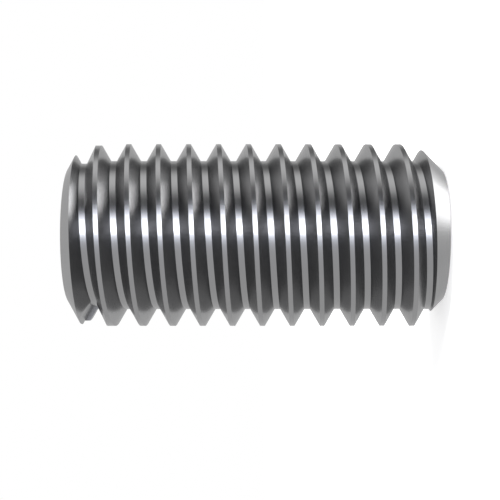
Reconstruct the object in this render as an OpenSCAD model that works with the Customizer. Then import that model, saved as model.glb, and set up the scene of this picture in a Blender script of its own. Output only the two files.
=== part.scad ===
// Headless set screw with a flat point and a hexagon socket.
// It stands on its flat point: Z = 0 is the point's face and +Z runs up the axis to the socket.
// Sizes are in millimetres and angles in degrees.

/* [Body] */
// Length from the flat point to the socket end
screw_length = 10; // [6:0.5:20]
// Diameter over the thread's crests
major_d = 4.89; // [4.6:0.01:6]

/* [Thread] */
// Distance from one crest to the next
pitch = 0.8; // [0.7:0.01:1]
// Depth of the groove below the crests
thread_depth = 0.453; // [0.3:0.001:0.5]
// Width of the flat left on each crest
crest_flat = 0.12; // [0.05:0.01:0.2]
// Angle between the two flanks of a groove
thread_angle = 60; // [50:1:62]
// Turn of the groove about the axis
thread_start = 0; // [0:5:360]

/* [Last turn] */
// Distance below the socket end at which the groove is cut deeper, with a square step
last_cut_start = 0.8; // [0.6:0.05:1]
// Extra depth of the last cut
last_cut_depth = 0.07; // [0.04:0.005:0.12]
// Extra depth of its second half, which runs out on the chamfer
run_out_depth = 0.06; // [0.03:0.005:0.11]
// How far the last cut leans towards the socket where it starts
start_lean = 0.095; // [0.02:0.005:0.12]
// Height over which the last crest is dressed down behind the step
dressed_h = 1; // [0.9:0.05:1.2]
// Mean depth of the dressing
dressed_depth = 0.085; // [0.05:0.005:0.12]
// Shift of the dressing away from the step
dressed_shift_x = 0.042; // [0:0.002:0.06]
// Shift of the dressing away from the side that it lowers
dressed_shift_y = 0.085; // [0.05:0.005:0.12]

/* [Ends] */
// Diameter of the flat point's face
point_d = 3.49; // [2.6:0.01:3.8]
// Angle of the point's chamfer from the axis
point_chamfer_angle = 45; // [30:1:60]
// Diameter of the face round the socket
face_d = 3.594; // [3.3:0.002:4.2]
// Angle of the socket end's chamfer from the axis
face_chamfer_angle = 60; // [40:1:70]

/* [Socket] */
// Width of the hexagon across its flats
socket_af = 2.5; // [1.5:0.05:2.7]
// Depth of the hexagon's flat walls
socket_depth = 3; // [1.5:0.1:4]
// Angle of the drilled bottom
drill_angle = 120; // [90:1:140]
// Width of the bevelled ring round the socket's corners
mouth_bevel = 0.06; // [0.02:0.01:0.15]
// Angle of the bevel cone at the mouth
mouth_angle = 120; // [90:1:130]

/* [Quality] */
// Flat faces in each turn of a flank
turn_steps = 40; // [24:4:60]

/* [Hidden] */

major_r = major_d / 2;
root_r = major_r - thread_depth;
point_r = point_d / 2;
face_r = face_d / 2;

// Height of each end's chamfer
point_chamfer_h = (major_r - point_r) / tan(point_chamfer_angle);
face_chamfer_h = (major_r - face_r) / tan(face_chamfer_angle);

// Half widths of the groove at its mouth and at its floor
mouth_half = (pitch - crest_flat) / 2;
floor_half = mouth_half - thread_depth * tan(thread_angle / 2);

// A groove cutter starts inside the groove's floor and ends outside the crests
inner_margin = 0.03;
outer_margin = 0.1;
cutter_outer_r = major_r + outer_margin;

// Corners of a groove's section, as radius and height, anticlockwise
// A groove that is cut deeper keeps the width of its floor and the lower edge of its mouth
function groove_section(extra) =
    let (
        floor_r = root_r - extra,
        inner_r = floor_r - inner_margin,
        lower_slope = (mouth_half - floor_half) / (thread_depth + extra),
        upper_slope = tan(thread_angle / 2),
        lower_inner = floor_half - inner_margin * lower_slope,
        lower_outer = mouth_half + outer_margin * lower_slope,
        upper_inner = floor_half - inner_margin * upper_slope,
        upper_outer = floor_half + (cutter_outer_r - floor_r) * upper_slope
    )
    [[inner_r, -lower_inner], [cutter_outer_r, -lower_outer],
     [cutter_outer_r, upper_outer], [inner_r, upper_inner]];

// Turns are counted up the groove from Z = 0, and the thread starts below the point
first_turn = -1;
step_turn = (screw_length - last_cut_start) / pitch;
turns_to_run_out = 0.55;
run_out_turn = step_turn + turns_to_run_out;
turns_to_end = 1.4;
last_turn = step_turn + turns_to_end;

// Each later cut reaches back over the end of the one before
cut_overlap = 0.002;

// Share of the start's lean that is left at a turn
lean_turns = 0.07;
function lean_left(turn) = max(0, 1 - pow((turn - step_turn) / lean_turns, 2));

// The dressing leaves the crest in front of the step whole
dressed_r = major_r - dressed_depth;
undressed_reach = major_r / 2;
clear_r = 2 * major_r;

socket_corner_r = socket_af / 2 / cos(30);
mouth_r = socket_corner_r + mouth_bevel;
drill_h = socket_af / 2 / tan(drill_angle / 2);
overcut = 0.01;

// Turned bar with a chamfer at each end, before it is threaded
module turned_blank() {
    rotate_extrude($fn = 96)
        polygon([
            [0, 0],
            [point_r, 0],
            [major_r, point_chamfer_h],
            [major_r, screw_length - face_chamfer_h],
            [face_r, screw_length],
            [0, screw_length]
        ]);
}

// Right-hand helical band that fills a groove between two of its turns
module groove_band(from_turn, to_turn, extra, lean_h) {
    section = groove_section(extra);
    corners = len(section);
    steps = round((to_turn - from_turn) * turn_steps);
    step_size = (to_turn - from_turn) / steps;
    points = [
        for (i = [0:steps])
            let (turn = from_turn + i * step_size, a = 360 * turn)
                let (z = pitch * turn + lean_h * lean_left(turn))
                    for (c = section)
                        [c[0] * cos(a), c[0] * sin(a), c[1] + z]
    ];
    sides = [
        for (i = [0:steps - 1], k = [0:corners - 1])
            let (n = (k + 1) % corners, base = i * corners, next = base + corners)
                each [
                    [base + k, base + n, next + n],
                    [base + k, next + n, next + k]
                ]
    ];
    first_cap = [[0, 3, 2, 1]];
    last = steps * corners;
    last_cap = [[last, last + 1, last + 2, last + 3]];
    polyhedron(points, concat(sides, first_cap, last_cap), convexity = 20);
}

// Groove with a true round floor
module groove(from_turn, to_turn, extra, lean_h) {
    difference() {
        groove_band(from_turn, to_turn, extra, lean_h);
        translate([0, 0, pitch * (from_turn - 1)])
            cylinder(r = root_r - extra, h = pitch * (to_turn - from_turn + 2), $fn = 96);
    }
}

// The main groove up to the square step, then a deeper one that runs out on the chamfer
module thread_grooves() {
    groove(first_turn, step_turn, 0, 0);
    groove(step_turn - cut_overlap, run_out_turn, last_cut_depth, start_lean);
    groove(run_out_turn - cut_overlap, last_turn, run_out_depth, 0);
}

// Shallow off-centre cut that lowers the last crest behind the step and ends at the step
module crest_dressing() {
    ring_h = dressed_h + overcut;
    translate([0, 0, screw_length - dressed_h])
        rotate([0, 0, 360 * (step_turn - cut_overlap / 2)])
            difference() {
                cylinder(r = clear_r, h = ring_h, $fn = 96);
                translate([-dressed_shift_x, dressed_shift_y, -overcut])
                    cylinder(r = dressed_r, h = ring_h + 2 * overcut, $fn = 96);
                translate([-undressed_reach, 0, -overcut])
                    cube([2 * clear_r, 2 * clear_r, ring_h + 2 * overcut]);
            }
}

// Broached hexagon with its drilled bottom and bevelled mouth, cut down from the top face
module socket_cut() {
    translate([0, 0, screw_length - socket_depth])
        cylinder(r = socket_corner_r, h = socket_depth + overcut, $fn = 6);
    translate([0, 0, screw_length - socket_depth - drill_h])
        cylinder(r1 = 0, r2 = socket_af / 2, h = drill_h, $fn = 96);
    bevel_h = mouth_r / tan(mouth_angle / 2);
    translate([0, 0, screw_length - bevel_h])
        cylinder(r1 = 0, r2 = mouth_r, h = bevel_h, $fn = 96);
}

module set_screw() {
    color("silver")
        difference() {
            turned_blank();
            rotate([0, 0, thread_start]) {
                thread_grooves();
                crest_dressing();
            }
            socket_cut();
        }
}

set_screw();
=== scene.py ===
import math

import bmesh
import bpy
from mathutils import Matrix, Vector


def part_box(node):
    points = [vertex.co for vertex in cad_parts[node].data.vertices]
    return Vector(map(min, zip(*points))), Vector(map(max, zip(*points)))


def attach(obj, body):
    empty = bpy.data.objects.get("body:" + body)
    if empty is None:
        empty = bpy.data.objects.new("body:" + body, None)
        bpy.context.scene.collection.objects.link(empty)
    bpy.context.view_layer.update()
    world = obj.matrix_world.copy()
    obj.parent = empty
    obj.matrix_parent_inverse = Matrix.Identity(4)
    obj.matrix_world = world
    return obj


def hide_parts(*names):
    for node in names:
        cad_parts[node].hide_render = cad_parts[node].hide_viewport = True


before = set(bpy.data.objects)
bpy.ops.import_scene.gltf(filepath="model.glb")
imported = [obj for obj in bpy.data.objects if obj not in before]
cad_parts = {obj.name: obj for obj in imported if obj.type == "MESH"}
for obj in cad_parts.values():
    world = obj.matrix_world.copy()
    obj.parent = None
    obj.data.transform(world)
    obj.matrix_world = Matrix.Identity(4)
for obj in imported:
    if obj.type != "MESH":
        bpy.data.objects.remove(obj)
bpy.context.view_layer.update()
scene = bpy.context.scene


# Set screw body
# The real one is one piece of steel bar, turned to length with a chamfer at each end.
# A right-hand groove is then cut along it, and its last turn is cut again a little deeper.

# The mesh is made in millimetres, and its finished copy is brought down to metres.
MM = 0.001
screw_low, screw_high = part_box("set_screw")
length = (screw_high[2] - screw_low[2]) / MM
crest_r = (screw_high[0] - screw_low[0]) / 2 / MM
point_r = 1.745
face_r = 1.797
face_chamfer_angle = math.radians(60)
face_chamfer_h = (crest_r - face_r) / math.tan(face_chamfer_angle)
end_round = 0.02
weld = 0.0005
turn_steps = 120
round_steps = 2 * turn_steps


def new_piece(name, bm):
    mesh = bpy.data.meshes.new(name)
    bm.to_mesh(mesh)
    bm.free()
    piece = bpy.data.objects.new(name, mesh)
    scene.collection.objects.link(piece)
    return piece


def face_outwards(bm):
    bmesh.ops.recalc_face_normals(bm, faces=bm.faces[:])
    if bm.calc_volume(signed=True) < 0:
        bmesh.ops.reverse_faces(bm, faces=bm.faces[:])


def turned(name, corners, rounded=(), radius=0.0):
    """A full turn of (radius, height) corners that start and end on the axis."""
    bm = bmesh.new()
    verts = [bm.verts.new((r, 0, z)) for r, z in corners]
    for a, b in zip(verts, verts[1:]):
        bm.edges.new((a, b))
    if rounded:
        bmesh.ops.bevel(bm, geom=[verts[i] for i in rounded], offset=radius, segments=2,
                        offset_type="OFFSET", profile=0.5, affect="VERTICES", material=-1)
    bmesh.ops.spin(bm, geom=bm.verts[:] + bm.edges[:], cent=(0, 0, 0), axis=(0, 0, 1),
                   angle=2 * math.pi, steps=round_steps, use_merge=True)
    bmesh.ops.remove_doubles(bm, verts=bm.verts[:], dist=weld)
    face_outwards(bm)
    return new_piece(name, bm)


def cut_away(piece, tool):
    modifier = piece.modifiers.new("cut_" + tool.name, "BOOLEAN")
    modifier.operation = "DIFFERENCE"
    modifier.solver = "MANIFOLD"
    modifier.object = tool


screw = turned("set_screw_body", [
    (0, 0),
    (point_r, 0),
    (crest_r, crest_r - point_r),
    (crest_r, length - face_chamfer_h),
    (face_r, length),
    (0, length),
], rounded=(1, 4), radius=end_round)

# The groove's section, and where its cuts begin and end. Turns count from the point's face.
pitch = 0.8
thread_depth = 0.453
crest_flat = 0.12
thread_angle = math.radians(60)
root_r = crest_r - thread_depth
mouth_half = (pitch - crest_flat) / 2
flank_slope = math.tan(thread_angle / 2)
floor_half = mouth_half - thread_depth * flank_slope
cutter_over = 0.1
step_below_end = 0.8
turns_to_run_out = 0.55
turns_to_end = 1.4
first_turn = -1
step_turn = (length - step_below_end) / pitch
run_out_turn = step_turn + turns_to_run_out
last_turn = step_turn + turns_to_end
cut_overlap = 0.002
last_cut_depth = 0.07
run_out_depth = 0.06
start_lean = 0.095
lean_turns = 0.07
step_wall_slope = 0.08


def groove_cutter(name, from_turn, to_turn, extra_depth, lean=0.0, wall_slope=0.0):
    """A closed band with the groove's section that winds up the screw, right-handed.

    The end where it starts can slope back, so that the wall it leaves isn't quite square.
    """
    bm = bmesh.new()
    floor_r = root_r - extra_depth
    outer_r = crest_r + cutter_over
    lower_slope = (mouth_half - floor_half) / (thread_depth + extra_depth)
    corners = [
        (floor_r, -floor_half),
        (outer_r, -mouth_half - cutter_over * lower_slope),
        (outer_r, floor_half + (outer_r - floor_r) * flank_slope),
        (floor_r, floor_half),
    ]
    wall = [bm.verts.new((r, 0, z)) for r, z in corners]
    bm.faces.new(wall)
    grown = bm.verts[:] + bm.edges[:] + bm.faces[:]
    steps = round((to_turn - from_turn) * turn_steps)
    step_angle = 2 * math.pi * (to_turn - from_turn) / steps

    def height(step):
        turn = from_turn + step * (to_turn - from_turn) / steps
        lean_left = max(0.0, 1 - ((turn - step_turn) / lean_turns) ** 2)
        return pitch * turn + lean * lean_left

    bmesh.ops.translate(bm, vec=(0, 0, height(0)), verts=bm.verts[:])
    for step in range(1, steps + 1):
        rise = Vector((0, 0, height(step) - height(step - 1)))
        grown = bmesh.ops.spin(bm, geom=grown, cent=(0, 0, 0), axis=(0, 0, 1), dvec=rise,
                               angle=step_angle, steps=1)["geom_last"]
    for lower, upper in ((wall[0], wall[3]), (wall[1], wall[2])):
        upper.co.y -= wall_slope * (upper.co.z - lower.co.z)
    start_angle = Matrix.Rotation(2 * math.pi * from_turn, 3, "Z")
    bmesh.ops.rotate(bm, cent=(0, 0, 0), matrix=start_angle, verts=bm.verts[:])
    face_outwards(bm)
    return new_piece(name, bm)


groove_tools = [
    groove_cutter("main_groove", first_turn, step_turn, 0.0),
    groove_cutter("last_cut", step_turn - cut_overlap, run_out_turn, last_cut_depth, start_lean,
                  step_wall_slope),
    groove_cutter("run_out", run_out_turn - cut_overlap, last_turn, run_out_depth),
]
for tool in groove_tools:
    cut_away(screw, tool)

# Behind the square step where the last cut starts, the crest is dressed down off-centre.
# A block in front of the step keeps the crest there whole.
dressed_h = 1.0
dressed_depth = 0.085
dressed_shift = (-0.042, 0.085)
dressing_over = 1.0
dressed_low = length - dressed_h
dressed_high = length + dressing_over
clear_r = 2 * crest_r
undressed_reach = crest_r / 2
behind_step = Matrix.Rotation(2 * math.pi * (step_turn - cut_overlap / 2), 4, "Z")


def dressing_bar(name, radius, centre, low, high):
    bm = bmesh.new()
    place = Matrix.Translation((centre[0], centre[1], (low + high) / 2))
    bmesh.ops.create_cone(bm, cap_ends=True, segments=round_steps, radius1=radius,
                          radius2=radius, depth=high - low, matrix=behind_step @ place)
    return new_piece(name, bm)


dressing = dressing_bar("crest_dressing", clear_r, (0, 0), dressed_low, dressed_high)
kept_bar = dressing_bar("kept_crest", crest_r - dressed_depth, dressed_shift,
                        dressed_low - dressing_over, dressed_high + dressing_over)
front_bm = bmesh.new()
front_middle = Matrix.Translation((clear_r - undressed_reach, clear_r, length))
bmesh.ops.create_cube(front_bm, size=2 * clear_r, matrix=behind_step @ front_middle)
front_of_step = new_piece("front_of_step", front_bm)
cut_away(dressing, kept_bar)
cut_away(dressing, front_of_step)
cut_away(screw, dressing)


# Hexagon socket
# A blind hole is drilled into the top end and a hexagon is broached into it for a 2.5 mm key.
# A small cone opens the mouth so that the key starts easily.
socket_af = 2.5
socket_depth = 3.0
drill_angle = math.radians(120)
mouth_angle = math.radians(120)
mouth_bevel = 0.06
half_corner = math.radians(30)
socket_corner_r = socket_af / 2 / math.cos(half_corner)
drill_h = socket_af / 2 / math.tan(drill_angle / 2)
mouth_r = socket_corner_r + mouth_bevel
mouth_h = mouth_r / math.tan(mouth_angle / 2)
overcut = 0.2
socket_floor = length - socket_depth
socket_high = length + overcut

hexagon_bm = bmesh.new()
middle_of_hexagon = Matrix.Translation((0, 0, (socket_floor + socket_high) / 2))
corners_on_x = Matrix.Rotation(half_corner, 4, "Z")
bmesh.ops.create_cone(hexagon_bm, cap_ends=True, segments=6, radius1=socket_corner_r,
                      radius2=socket_corner_r, depth=socket_high - socket_floor,
                      matrix=middle_of_hexagon @ corners_on_x)
socket_tools = [
    new_piece("hexagon", hexagon_bm),
    turned("drill_tip", [
        (0, socket_floor - drill_h),
        (socket_af / 2, socket_floor),
        (socket_af / 2, socket_floor + overcut),
        (0, socket_floor + overcut),
    ]),
    turned("mouth_cone", [
        (0, length - mouth_h),
        (mouth_r, length),
        (mouth_r, socket_high),
        (0, socket_high),
    ]),
]
for tool in socket_tools:
    cut_away(screw, tool)


# Steel finish
# The cut bar is bright bare steel, with its turned and broached edges left sharp.
# Tool marks run round it as faint lines, and its tone is a little uneven.
sharp_edge = math.radians(35)
edge_tint = (0.72, 0.72, 0.72, 1)
darker_steel = (0.293, 0.293, 0.296, 1)
lighter_steel = (0.313, 0.313, 0.316, 1)
tone_scale = 900.0
tool_line_scale = 26000.0
tool_line_depth = 0.004 * MM
tool_line_strength = 0.12
smoothest = 0.23
roughest = 0.27

# Most of the noise lies between these two values.
noise_low = 0.3
noise_high = 0.7

# The noise counts one radian round the axis as this length, so it draws lines round the screw.
length_of_radian = 0.06 * MM


def apply_modifiers(piece):
    depsgraph = bpy.context.evaluated_depsgraph_get()
    mesh = bpy.data.meshes.new_from_object(piece.evaluated_get(depsgraph))
    piece.modifiers.clear()
    piece.data = mesh
    return mesh


cut_mesh = apply_modifiers(screw)
cut_mesh.shade_smooth()
cut_mesh.set_sharp_from_angle(angle=sharp_edge)
flat_faces = screw.modifiers.new("flat_faces_stay_flat", "WEIGHTED_NORMAL")
flat_faces.mode = "FACE_AREA"
flat_faces.thresh = 0
flat_faces.keep_sharp = True
finished = apply_modifiers(screw)
finished.transform(Matrix.Scale(MM, 4))
finished.name = "set_screw_body"
for tool in groove_tools + [dressing, kept_bar, front_of_step] + socket_tools:
    bpy.data.objects.remove(tool)


def add(nodes, kind, **settings):
    node = nodes.new(kind)
    for name, value in settings.items():
        setattr(node, name, value)
    return node


def machined_steel():
    """Bare steel with tool lines laid out by radius, height and angle, as on a lathe."""
    material = bpy.data.materials.new("machined_steel")
    material.use_nodes = True
    nodes = material.node_tree.nodes
    link = material.node_tree.links.new
    shader = nodes["Principled BSDF"]
    shader.inputs["Metallic"].default_value = 1.0
    shader.inputs["Specular Tint"].default_value = edge_tint
    place = add(nodes, "ShaderNodeTexCoord")
    axes = add(nodes, "ShaderNodeSeparateXYZ")
    link(place.outputs["Object"], axes.inputs[0])
    angle = add(nodes, "ShaderNodeMath", operation="ARCTAN2")
    link(axes.outputs["Y"], angle.inputs[0])
    link(axes.outputs["X"], angle.inputs[1])
    total = add(nodes, "ShaderNodeMath", operation="ADD")
    for term, axis in enumerate("XY"):
        square = add(nodes, "ShaderNodeMath", operation="POWER")
        link(axes.outputs[axis], square.inputs[0])
        square.inputs[1].default_value = 2.0
        link(square.outputs[0], total.inputs[term])
    radius = add(nodes, "ShaderNodeMath", operation="SQRT")
    link(total.outputs[0], radius.inputs[0])
    small_turn = add(nodes, "ShaderNodeMath", operation="MULTIPLY")
    link(angle.outputs[0], small_turn.inputs[0])
    small_turn.inputs[1].default_value = length_of_radian
    lathe = add(nodes, "ShaderNodeCombineXYZ")
    link(radius.outputs[0], lathe.inputs["X"])
    link(axes.outputs["Z"], lathe.inputs["Y"])
    link(small_turn.outputs[0], lathe.inputs["Z"])

    lines = add(nodes, "ShaderNodeTexNoise", noise_dimensions="3D")
    lines.inputs["Scale"].default_value = tool_line_scale
    lines.inputs["Detail"].default_value = 3.0
    lines.inputs["Roughness"].default_value = 0.6
    link(lathe.outputs[0], lines.inputs["Vector"])
    bump = add(nodes, "ShaderNodeBump")
    bump.inputs["Strength"].default_value = tool_line_strength
    bump.inputs["Distance"].default_value = tool_line_depth
    link(lines.outputs["Fac"], bump.inputs["Height"])
    link(bump.outputs["Normal"], shader.inputs["Normal"])

    clouds = add(nodes, "ShaderNodeTexNoise", noise_dimensions="3D")
    clouds.inputs["Scale"].default_value = tone_scale
    clouds.inputs["Detail"].default_value = 4.0
    link(place.outputs["Object"], clouds.inputs["Vector"])
    tone = add(nodes, "ShaderNodeValToRGB")
    tone.color_ramp.elements[0].position = noise_low
    tone.color_ramp.elements[0].color = darker_steel
    tone.color_ramp.elements[1].position = noise_high
    tone.color_ramp.elements[1].color = lighter_steel
    link(clouds.outputs["Fac"], tone.inputs["Fac"])
    link(tone.outputs["Color"], shader.inputs["Base Color"])

    gloss = add(nodes, "ShaderNodeMapRange")
    gloss.inputs["From Min"].default_value = noise_low
    gloss.inputs["From Max"].default_value = noise_high
    gloss.inputs["To Min"].default_value = smoothest
    gloss.inputs["To Max"].default_value = roughest
    link(lines.outputs["Fac"], gloss.inputs["Value"])
    link(gloss.outputs["Result"], shader.inputs["Roughness"])
    return material


finished.materials.clear()
finished.materials.append(machined_steel())
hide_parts("set_screw")
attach(screw, "root")


# Floor and white surroundings
# A plain pale floor under the screw, and plain white all round it.
# Both look pure white, and the floor still takes the screw's soft shadow.
floor_r = 0.4
floor_grey = (0.8, 0.8, 0.8, 1)
floor_glow = 0.55
ambient = 0.6


def sees_background(nodes, link):
    """One for a camera, glossy or transmission ray, and nothing for the rest."""
    path = add(nodes, "ShaderNodeLightPath")
    pair = add(nodes, "ShaderNodeMath", operation="MAXIMUM")
    link(path.outputs["Is Camera Ray"], pair.inputs[0])
    link(path.outputs["Is Glossy Ray"], pair.inputs[1])
    all_three = add(nodes, "ShaderNodeMath", operation="MAXIMUM")
    link(pair.outputs[0], all_three.inputs[0])
    link(path.outputs["Is Transmission Ray"], all_three.inputs[1])
    return all_three.outputs[0]


world = bpy.data.worlds.new("white_surroundings")
scene.world = world
world.use_nodes = True
world_nodes = world.node_tree.nodes
world_link = world.node_tree.links.new
seen = sees_background(world_nodes, world_link)
level = add(world_nodes, "ShaderNodeMapRange")
level.inputs["To Min"].default_value = ambient
level.inputs["To Max"].default_value = 1.0
world_link(seen, level.inputs["Value"])
background = world_nodes["Background"]
background.inputs["Color"].default_value = (1, 1, 1, 1)
world_link(level.outputs["Result"], background.inputs["Strength"])

floor_bm = bmesh.new()
bmesh.ops.create_circle(floor_bm, cap_ends=True, segments=96, radius=floor_r)
floor = new_piece("floor", floor_bm)
floor.visible_glossy = False
floor.visible_shadow = False
floor_paint = bpy.data.materials.new("pale_floor")
floor_paint.use_nodes = True
floor_nodes = floor_paint.node_tree.nodes
floor_link = floor_paint.node_tree.links.new
floor_nodes.remove(floor_nodes["Principled BSDF"])
matt = add(floor_nodes, "ShaderNodeBsdfDiffuse")
matt.inputs["Color"].default_value = floor_grey
glow = add(floor_nodes, "ShaderNodeEmission")
floor_seen = sees_background(floor_nodes, floor_link)
glow_level = add(floor_nodes, "ShaderNodeMath", operation="MULTIPLY")
floor_link(floor_seen, glow_level.inputs[0])
glow_level.inputs[1].default_value = floor_glow
floor_link(glow_level.outputs[0], glow.inputs["Strength"])
both = add(floor_nodes, "ShaderNodeAddShader")
floor_link(matt.outputs[0], both.inputs[0])
floor_link(glow.outputs[0], both.inputs[1])
floor_link(both.outputs[0], floor_nodes["Material Output"].inputs["Surface"])
floor.data.materials.append(floor_paint)


# Softboxes
# Softboxes hang round the screw, two of them inside a dimmer and wider rim that softens them.
# The upright one draws the long white line, and the low one lights the point's chamfer.
screw_middle = Vector((0, 0, length / 2 * MM))
softbox_distance = 80 * MM
watts_per_square_metre = 4
cool_white = (0.92, 0.93, 1.0)
plain_white = (1.0, 1.0, 1.0)


def studio_direction(azimuth, elevation):
    """Azimuth 0 is from the screw towards -Y and 90 towards +X."""
    a = math.radians(azimuth)
    e = math.radians(elevation)
    return Vector((math.sin(a) * math.cos(e), -math.cos(a) * math.cos(e), math.sin(e)))


def softbox(name, azimuth, elevation, width, height, brightness, colour):
    data = bpy.data.lights.new(name, "AREA")
    data.shape = "RECTANGLE"
    data.size = width
    data.size_y = height
    data.energy = watts_per_square_metre * width * height * brightness
    data.color = colour
    lamp = bpy.data.objects.new(name, data)
    scene.collection.objects.link(lamp)
    away = studio_direction(azimuth, elevation)
    lamp.location = screw_middle + away * softbox_distance
    lamp.rotation_euler = away.to_track_quat("Z", "Y").to_euler()
    lamp.visible_camera = False


softbox("upright_softbox", 11, 0, 18 * MM, 60 * MM, 3.0, cool_white)
softbox("upright_softbox_rim", 13, 0, 32 * MM, 60 * MM, 1.3, cool_white)
softbox("high_softbox", 75, 46, 46 * MM, 26 * MM, 5.6, plain_white)
softbox("top_softbox", 70, 61, 52 * MM, 28 * MM, 10.5, plain_white)
softbox("side_softbox_above", 118, 32, 40 * MM, 24 * MM, 0.45, plain_white)
softbox("side_softbox_below", 104, -37, 56 * MM, 26 * MM, 0.45, plain_white)
softbox("low_side_softbox", 78, -50, 26 * MM, 16 * MM, 1.8, plain_white)
softbox("low_softbox", 133, -64, 26 * MM, 37 * MM, 1.8, plain_white)
softbox("low_softbox_rim", 133, -59, 30 * MM, 66 * MM, 0.9, plain_white)


# Glowing tent (painted reflection)
# A round screen stands behind the softboxes and the camera, seen only as a reflection. It glows
# with painted light rather than being lit.
# Two painted dark strips on it draw the dark lines along the thread.
tent_r = 90 * MM
tent_h = 130 * MM
tent_bm = bmesh.new()
tent_foot = tent_bm.verts.new((tent_r, 0, screw_middle.z - tent_h / 2))
tent_head = tent_bm.verts.new((tent_r, 0, screw_middle.z + tent_h / 2))
tent_bm.edges.new((tent_foot, tent_head))
bmesh.ops.spin(tent_bm, geom=tent_bm.verts[:] + tent_bm.edges[:], cent=(0, 0, 0),
               axis=(0, 0, 1), angle=2 * math.pi, steps=96, use_merge=True)
tent = new_piece("glowing_reflection_tent", tent_bm)
tent.visible_camera = False
tent.visible_diffuse = False
tent.visible_shadow = False

# Painted glow of the screen by azimuth, as red and blue, with green between them.
# Its brightest stretch, behind the upright softbox, is a painted highlight standing in for that
# softbox's spill.
first_azimuth = -90
tent_brightest = 3.2
painted_reflection_shades = [
    (-90, 0.85, 0.85), (-26, 0.85, 0.87), (-16, 0.88, 0.92), (-9, 0.98, 1.1),
    (-3, 1.6, 1.9), (3, 2.6, 2.9), (10, 2.9, 3.2), (20, 2.8, 3.1), (27, 2.4, 2.7),
    (31, 1.6, 1.9), (35, 0.36, 0.4),
    (40, 0.1, 0.1), (54, 0.1, 0.1), (62, 0.38, 0.38), (70, 0.86, 0.86), (78, 1.18, 1.18),
    (86, 1.33, 1.33), (94, 1.34, 1.34), (102, 1.28, 1.28), (109, 0.94, 0.94),
    (116, 0.46, 0.46), (123, 0.27, 0.27), (134, 0.26, 0.26), (142, 0.52, 0.52),
    (148, 1.0, 1.0), (160, 0.95, 0.95), (190, 0.85, 0.85), (206, 1.05, 1.05),
    (216, 1.1, 1.1), (230, 0.99, 0.99), (240, 0.93, 0.93), (270, 0.85, 0.85),
]
# The screen's colour below is all painted light, given as an emission.
reflection_paint = bpy.data.materials.new("painted_reflection_glow")
reflection_paint.use_nodes = True
reflection_nodes = reflection_paint.node_tree.nodes
reflection_link = reflection_paint.node_tree.links.new
reflection_nodes.remove(reflection_nodes["Principled BSDF"])
reflection_place = add(reflection_nodes, "ShaderNodeTexCoord")
round_reflection = add(reflection_nodes, "ShaderNodeTexGradient", gradient_type="RADIAL")
reflection_link(reflection_place.outputs["Object"], round_reflection.inputs["Vector"])
greys = add(reflection_nodes, "ShaderNodeValToRGB")
stops = greys.color_ramp.elements
while len(stops) > 1:
    stops.remove(stops[-1])
for index, (azimuth, red, blue) in enumerate(painted_reflection_shades):
    place = (azimuth - first_azimuth) / 360
    stop = stops[0] if index == 0 else stops.new(place)
    stop.position = place
    green = (3 * red + blue) / 4
    stop.color = (red / tent_brightest, green / tent_brightest, blue / tent_brightest, 1)
reflection_link(round_reflection.outputs["Fac"], greys.inputs["Fac"])
reflection_glow = add(reflection_nodes, "ShaderNodeEmission")
reflection_glow.inputs["Strength"].default_value = tent_brightest
reflection_link(greys.outputs["Color"], reflection_glow.inputs["Color"])
reflection_link(reflection_glow.outputs[0], reflection_nodes["Material Output"].inputs["Surface"])
tent.data.materials.append(reflection_paint)


# Grey hoods (painted shade)
# Two cards lean in over the camera from above and below, seen only as reflections.
# They glow an even dim grey, a painted shade that darkens the slopes of the thread next to its
# crests.
hood_from = -100
hood_to = 48
hood_rim = 36
hood_tip = 78
hood_shade_level = 0.36
# The hoods' grey below is painted shade, given as an emission.
hood_shade_paint = bpy.data.materials.new("hood_painted_shade")
hood_shade_paint.use_nodes = True
hood_nodes = hood_shade_paint.node_tree.nodes
hood_nodes.remove(hood_nodes["Principled BSDF"])
hood_glow = add(hood_nodes, "ShaderNodeEmission")
hood_glow.inputs["Color"].default_value = (hood_shade_level, hood_shade_level, hood_shade_level, 1)
hood_shade_paint.node_tree.links.new(hood_glow.outputs[0],
                               hood_nodes["Material Output"].inputs["Surface"])
for side, hood_name in ((1, "hood_above"), (-1, "hood_below")):
    hood_bm = bmesh.new()
    rim = screw_middle + studio_direction(hood_from, hood_rim * side) * tent_r
    tip = screw_middle + studio_direction(hood_from, hood_tip * side) * tent_r
    hood_bm.edges.new((hood_bm.verts.new(rim), hood_bm.verts.new(tip)))
    bmesh.ops.spin(hood_bm, geom=hood_bm.verts[:] + hood_bm.edges[:], cent=(0, 0, 0),
                   axis=(0, 0, 1), angle=math.radians(hood_to - hood_from), steps=32)
    hood = new_piece(hood_name, hood_bm)
    hood.visible_camera = False
    hood.visible_diffuse = False
    hood.visible_shadow = False
    hood.data.materials.append(hood_shade_paint)


# Camera
# The photograph looks square at the screw's side with the socket end at the left.
# The screw stands here, so the camera is rolled until the axis runs across the picture.
camera_distance = 33.6 * MM
camera_height = 5.145 * MM
look_down = math.radians(0.686)
camera_data = bpy.data.cameras.new("camera")
camera_data.sensor_width = 36
camera_data.lens = 89.7
camera_data.clip_start = 1 * MM
camera_data.clip_end = 2
camera = bpy.data.objects.new("camera", camera_data)
scene.collection.objects.link(camera)
back = Vector((math.sin(look_down), -math.cos(look_down), 0))
right = Vector((0, 0, -1))
up = back.cross(right)
turn = Matrix((right, up, back)).transposed().to_4x4()
camera.matrix_world = Matrix.Translation((0, -camera_distance, camera_height)) @ turn
scene.camera = camera

scene.view_settings.view_transform = "Standard"
